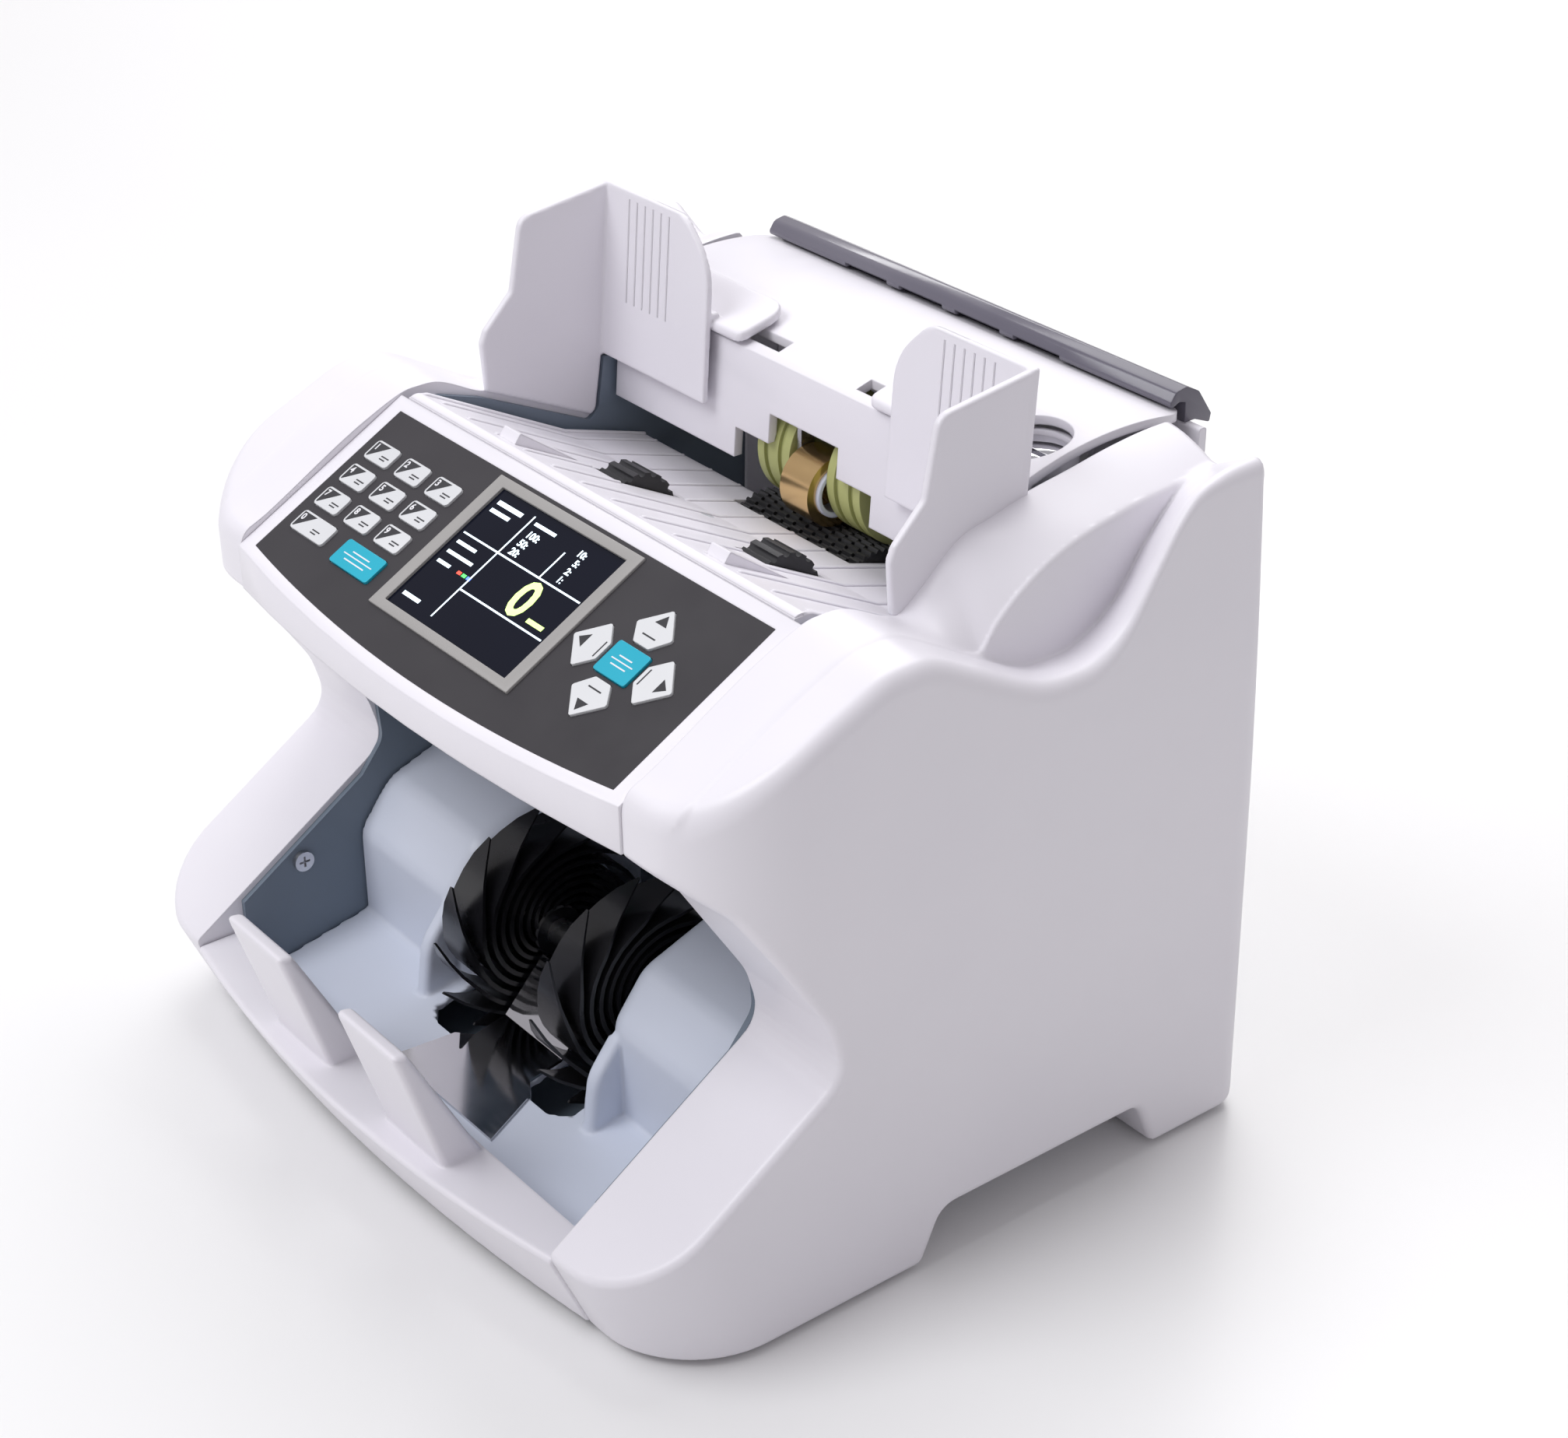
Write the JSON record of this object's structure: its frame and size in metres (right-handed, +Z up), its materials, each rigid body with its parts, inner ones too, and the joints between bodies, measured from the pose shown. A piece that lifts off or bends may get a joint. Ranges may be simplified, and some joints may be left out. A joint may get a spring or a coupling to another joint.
{
  "type": "banknote counter",
  "caption": "Desktop banknote counter with a top hopper and sliding note guides, sloped keypad and display, stacker wheels over a front tray and a hinged rear door.",
  "frame": {"origin": "under the middle of the machine, on the surface it stands on", "axes": "+X to the operator's right, +Y to the rear, +Z up; the operator faces +Y"},
  "size_m": [0.29, 0.2712, 0.2598],
  "materials": {
    "white_plastic": "satin moulded ABS",
    "inner_white": "satin moulded ABS",
    "slate_plate": "powder-coated sheet",
    "label_film": "printed overlay film",
    "bezel_grey": "printed grey film",
    "screen": "dark display glass",
    "key_white": "white key caps",
    "key_teal": "teal key caps",
    "black_rubber": "moulded rubber",
    "foot_rubber": "soft rubber",
    "green_rubber": "yellow-green polyurethane",
    "steel": "ground shafts and plated sheet",
    "polished": "polished steel",
    "brass": "turned brass",
    "black_plastic": "moulded nylon",
    "belt": "toothed belt",
    "board": "green circuit board",
    "smoked": "smoked translucent plastic",
    "clear": "clear sensor window",
    "motor": "motor can"
  },
  "bodies": {
    "machine": {"base_pan": "slate_plate", "rubber_feet": "foot_rubber", "side_cover_left": "white_plastic", "side_cover_right": "white_plastic", "frame_plate_left": "slate_plate", "frame_plate_right": "slate_plate", "plate_screws": "steel", "front_lip": "white_plastic", "stacker_housing": "inner_white", "stacker_plate": "polished", "sensor_lenses": "clear", "front_panel": "white_plastic", "keypad_overlay": "label_film", "display_bezel": "bezel_grey", "display_screen": "screen", "keypad_board": "board", "hopper_tray": "white_plastic", "top_cover": "white_plastic", "sensing_bracket": "steel", "drive_motor": "motor", "drive_belts": "belt", "shaft_bearings": "brass", "main_board": "board", "power_supply": "steel", "power_inlet": "black_plastic"},
    "rear_door": {"rear_door": "white_plastic", "grip_rail": "smoked"},
    "note_guide_left": {"note_guide_left": "white_plastic"},
    "note_guide_right": {"note_guide_right": "white_plastic"},
    "gap_knob": {"gap_knob": "polished"},
    "pickup": {"pickup_shaft": "steel", "pickup_rollers": "black_rubber", "pickup_pulley": "black_plastic"},
    "feed": {"feed_shaft": "steel", "feed_roller": "black_rubber", "feed_pulley": "black_plastic"},
    "retard": {"retard_shaft": "steel", "retard_rollers": "green_rubber"},
    "sensing": {"sensing_roller": "brass"},
    "stacker": {"stacker_shaft": "steel", "stacker_wheels": "black_rubber", "stacker_pulley": "black_plastic"},
    "motor_rotor": {"motor_pulley": "steel"},
    "power_rocker": {"power_rocker": "black_plastic"},
    "key_0": {"key_0": "key_white"},
    "key_1": {"key_1": "key_white"},
    "key_2": {"key_2": "key_white"},
    "key_3": {"key_3": "key_white"},
    "key_4": {"key_4": "key_white"},
    "key_5": {"key_5": "key_white"},
    "key_6": {"key_6": "key_white"},
    "key_7": {"key_7": "key_white"},
    "key_8": {"key_8": "key_white"},
    "key_9": {"key_9": "key_white"},
    "key_set": {"key_set": "key_teal"},
    "key_start": {"key_start": "key_teal"},
    "key_mode": {"key_mode": "key_white"},
    "key_batch": {"key_batch": "key_white"},
    "key_currency": {"key_currency": "key_white"},
    "key_print": {"key_print": "key_white"}
  },
  "joints": [
    {"name": "rear_door_hinge", "type": "hinge", "parent": "machine", "child": "rear_door", "pos_m": [0, 0.12208, 0.05], "axis": [-1, 0, 0], "range_deg": [0, 75]},
    {"name": "note_guide_left_slide", "type": "slide", "parent": "machine", "child": "note_guide_left", "axis": [1, 0, 0], "range_m": [0, 0.016]},
    {"name": "note_guide_right_slide", "type": "slide", "parent": "machine", "child": "note_guide_right", "axis": [-1, 0, 0], "range_m": [0, 0.016]},
    {"name": "gap_knob_turn", "type": "hinge", "parent": "machine", "child": "gap_knob", "pos_m": [0.0854, 0.07448, 0.215], "axis": [0, 0, 1], "range_deg": [-135, 135]},
    {"name": "feed_spin", "type": "hinge", "parent": "machine", "child": "feed", "pos_m": [0, 0.06108, 0.1568], "axis": [1, 0, 0], "continuous": true},
    {"name": "pickup_spin", "type": "hinge", "parent": "machine", "child": "pickup", "pos_m": [0, 0.01358, 0.1789], "axis": [1, 0, 0], "continuous": true},
    {"name": "stacker_spin", "type": "hinge", "parent": "machine", "child": "stacker", "pos_m": [0, -0.03452, 0.047], "axis": [1, 0, 0], "continuous": true},
    {"name": "motor_spin", "type": "hinge", "parent": "machine", "child": "motor_rotor", "pos_m": [0, 0.07948, 0.112], "axis": [1, 0, 0], "continuous": true},
    {"name": "retard_spin", "type": "hinge", "parent": "machine", "child": "retard", "pos_m": [0, 0.07798, 0.19], "axis": [1, 0, 0], "continuous": true},
    {"name": "sensing_spin", "type": "hinge", "parent": "machine", "child": "sensing", "pos_m": [0, 0.06248, 0.1852], "axis": [1, 0, 0], "continuous": true},
    {"name": "power_rocker_tilt", "type": "hinge", "parent": "machine", "child": "power_rocker", "pos_m": [-0.0434, 0.11508, 0.0226], "axis": [1, 0, 0], "range_deg": [0, 10]},
    {"name": "key_0_press", "type": "slide", "parent": "machine", "child": "key_0", "axis": [0, 0.475, -0.88], "range_m": [0, 0.0006], "stiffness_N_per_m": 500},
    {"name": "key_1_press", "type": "slide", "parent": "machine", "child": "key_1", "axis": [0, 0.475, -0.88], "range_m": [0, 0.0006], "stiffness_N_per_m": 500},
    {"name": "key_2_press", "type": "slide", "parent": "machine", "child": "key_2", "axis": [0, 0.475, -0.88], "range_m": [0, 0.0006], "stiffness_N_per_m": 500},
    {"name": "key_3_press", "type": "slide", "parent": "machine", "child": "key_3", "axis": [0, 0.475, -0.88], "range_m": [0, 0.0006], "stiffness_N_per_m": 500},
    {"name": "key_4_press", "type": "slide", "parent": "machine", "child": "key_4", "axis": [0, 0.475, -0.88], "range_m": [0, 0.0006], "stiffness_N_per_m": 500},
    {"name": "key_5_press", "type": "slide", "parent": "machine", "child": "key_5", "axis": [0, 0.475, -0.88], "range_m": [0, 0.0006], "stiffness_N_per_m": 500},
    {"name": "key_6_press", "type": "slide", "parent": "machine", "child": "key_6", "axis": [0, 0.475, -0.88], "range_m": [0, 0.0006], "stiffness_N_per_m": 500},
    {"name": "key_7_press", "type": "slide", "parent": "machine", "child": "key_7", "axis": [0, 0.475, -0.88], "range_m": [0, 0.0006], "stiffness_N_per_m": 500},
    {"name": "key_8_press", "type": "slide", "parent": "machine", "child": "key_8", "axis": [0, 0.475, -0.88], "range_m": [0, 0.0006], "stiffness_N_per_m": 500},
    {"name": "key_9_press", "type": "slide", "parent": "machine", "child": "key_9", "axis": [0, 0.475, -0.88], "range_m": [0, 0.0006], "stiffness_N_per_m": 500},
    {"name": "key_set_press", "type": "slide", "parent": "machine", "child": "key_set", "axis": [0, 0.475, -0.88], "range_m": [0, 0.0006], "stiffness_N_per_m": 500},
    {"name": "key_start_press", "type": "slide", "parent": "machine", "child": "key_start", "axis": [0, 0.475, -0.88], "range_m": [0, 0.0006], "stiffness_N_per_m": 500},
    {"name": "key_mode_press", "type": "slide", "parent": "machine", "child": "key_mode", "axis": [0, 0.475, -0.88], "range_m": [0, 0.0006], "stiffness_N_per_m": 500},
    {"name": "key_batch_press", "type": "slide", "parent": "machine", "child": "key_batch", "axis": [0, 0.475, -0.88], "range_m": [0, 0.0006], "stiffness_N_per_m": 500},
    {"name": "key_currency_press", "type": "slide", "parent": "machine", "child": "key_currency", "axis": [0, 0.475, -0.88], "range_m": [0, 0.0006], "stiffness_N_per_m": 500},
    {"name": "key_print_press", "type": "slide", "parent": "machine", "child": "key_print", "axis": [0, 0.475, -0.88], "range_m": [0, 0.0006], "stiffness_N_per_m": 500}
  ],
  "couplings": [
    {"joint": "pickup_spin", "follows": "feed_spin", "ratio": 1},
    {"joint": "motor_spin", "follows": "feed_spin", "ratio": 1.5556},
    {"joint": "stacker_spin", "follows": "feed_spin", "ratio": 0.7}
  ]
}
